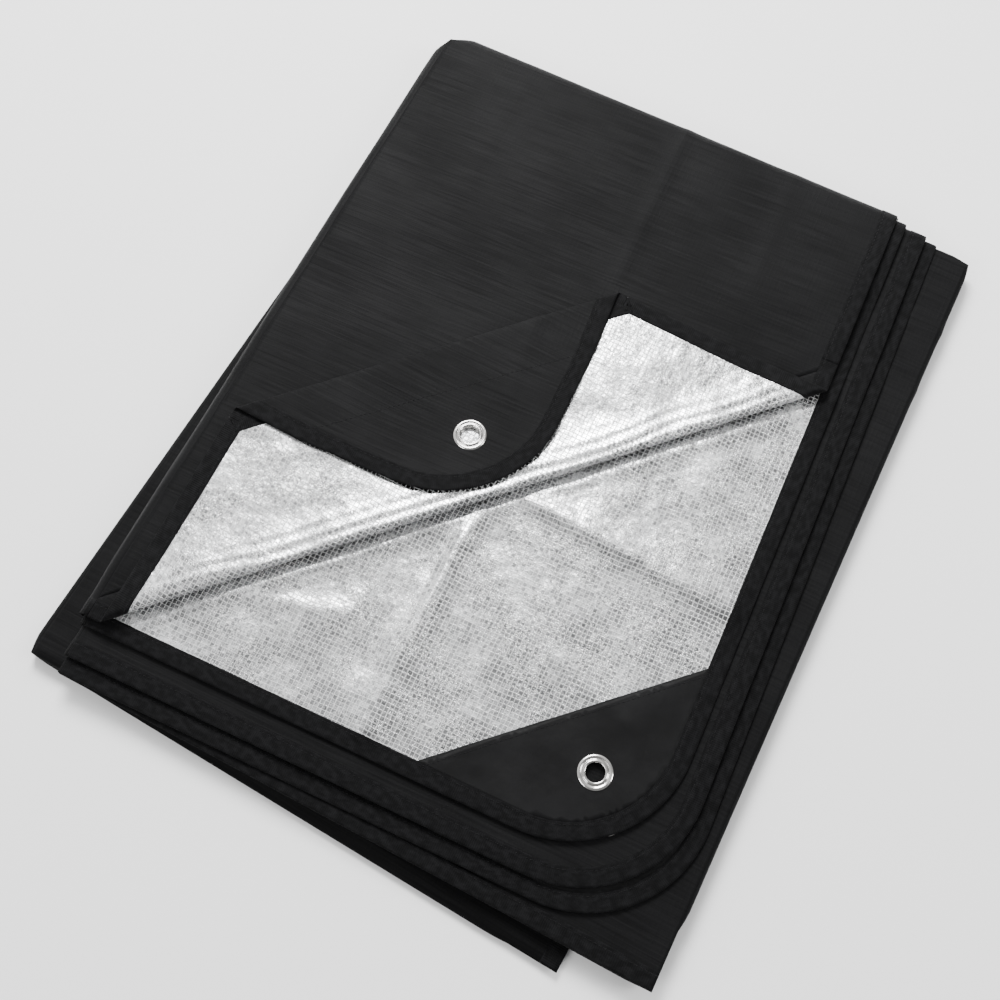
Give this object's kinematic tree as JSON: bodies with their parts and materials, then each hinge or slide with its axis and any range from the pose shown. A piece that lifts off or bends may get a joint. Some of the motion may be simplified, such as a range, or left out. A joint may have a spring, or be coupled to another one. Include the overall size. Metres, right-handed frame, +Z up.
{
  "type": "folded reflective thermal blanket",
  "caption": "Black and silver reinforced thermal blanket with taped edges and eyeleted corner patches, folded to a flat packet with one corner turned back.",
  "frame": {"origin": "centre of the packet's footprint, on the surface that it lies on", "axes": "+X to the right along the near edge, +Y towards the far fold, +Z up out of the packet"},
  "size_m": [0.4554, 0.579, 0.0329],
  "materials": {
    "outer_cloth": "matt black woven cloth, fine weave",
    "silver_film": "crinkled aluminised film over a fine scrim grid",
    "binding_tape": "ribbed black tape",
    "patch_cloth": "matt black coated cloth",
    "eyelet_metal": "bright nickel plate",
    "sewing_thread": "black polyester thread"
  },
  "bodies": {
    "base": {"base_cloths": "outer_cloth", "base_films": "silver_film", "base_bindings": "binding_tape", "base_edge_bends": "outer_cloth", "far_lower_bends": "outer_cloth"},
    "lower": {"lower_cloths": "outer_cloth", "lower_films": "silver_film", "lower_edge_bends": "outer_cloth", "lower_side_bends": "outer_cloth"},
    "middle": {"middle_cloths": "outer_cloth", "middle_films": "silver_film", "middle_bindings": "binding_tape", "middle_edge_bends": "outer_cloth", "far_inner_bends": "outer_cloth"},
    "top": {"top_cloth": "outer_cloth", "top_film": "silver_film", "second_cloth": "outer_cloth", "second_film": "silver_film", "third_cloth": "outer_cloth", "third_film": "silver_film", "fourth_cloth": "outer_cloth", "fourth_film": "silver_film", "top_binding": "binding_tape", "second_binding": "binding_tape", "third_binding": "binding_tape", "fourth_binding": "binding_tape", "second_patch": "patch_cloth", "third_patch": "patch_cloth", "fourth_patch": "patch_cloth", "second_eyelet": "eyelet_metal", "third_eyelet": "eyelet_metal", "fourth_eyelet": "eyelet_metal", "second_washer": "eyelet_metal", "third_washer": "eyelet_metal", "fourth_washer": "eyelet_metal", "second_patch_thread": "sewing_thread", "third_patch_thread": "sewing_thread", "fourth_patch_thread": "sewing_thread", "top_binding_thread": "sewing_thread", "second_binding_thread": "sewing_thread", "third_binding_thread": "sewing_thread", "fourth_binding_thread": "sewing_thread", "upper_side_bends": "outer_cloth", "far_upper_bends": "outer_cloth", "corner_crease_bend": "outer_cloth"},
    "flap": {"flap_cloth": "outer_cloth", "flap_film": "silver_film", "flap_binding": "binding_tape", "flap_binding_thread": "sewing_thread", "tip_crease_bend": "outer_cloth"},
    "tip": {"tip_cloth": "outer_cloth", "tip_film": "silver_film", "tip_binding": "binding_tape", "tip_patch": "patch_cloth", "tip_eyelet": "eyelet_metal", "tip_washer": "eyelet_metal", "tip_patch_thread": "sewing_thread", "tip_binding_thread": "sewing_thread"}
  },
  "joints": [
    {"name": "lower_side_fold", "type": "hinge", "parent": "base", "child": "lower", "pos_m": [-0.18632, 0.27638, 0.00451], "axis": [-0.0698, -0.9976, 0], "range_deg": [0, 180], "deforming": ["lower_side_bends"]},
    {"name": "far_fold", "type": "hinge", "parent": "lower", "child": "middle", "pos_m": [-0.01124, 0.26843, 0.00911], "axis": [-0.999, 0.0454, 0], "range_deg": [0, 180], "deforming": ["far_inner_bends", "far_upper_bends", "far_lower_bends"]},
    {"name": "upper_side_fold", "type": "hinge", "parent": "middle", "child": "top", "pos_m": [-0.19688, -0.22757, 0.02069], "axis": [-0.0209, -0.9998, 0], "range_deg": [0, 180], "deforming": ["upper_side_bends"]},
    {"name": "corner_turn", "type": "hinge", "parent": "top", "child": "flap", "pos_m": [-0.18974, -0.22257, 0.02754], "axis": [0.7242, 0.6896, 0], "range_deg": [0, 180], "deforming": ["corner_crease_bend"]},
    {"name": "tip_turn", "type": "hinge", "parent": "flap", "child": "tip", "pos_m": [-0.26525, -0.14328, 0.03004], "axis": [-0.7242, -0.6896, 0], "range_deg": [0, 180], "deforming": ["tip_crease_bend"]}
  ]
}
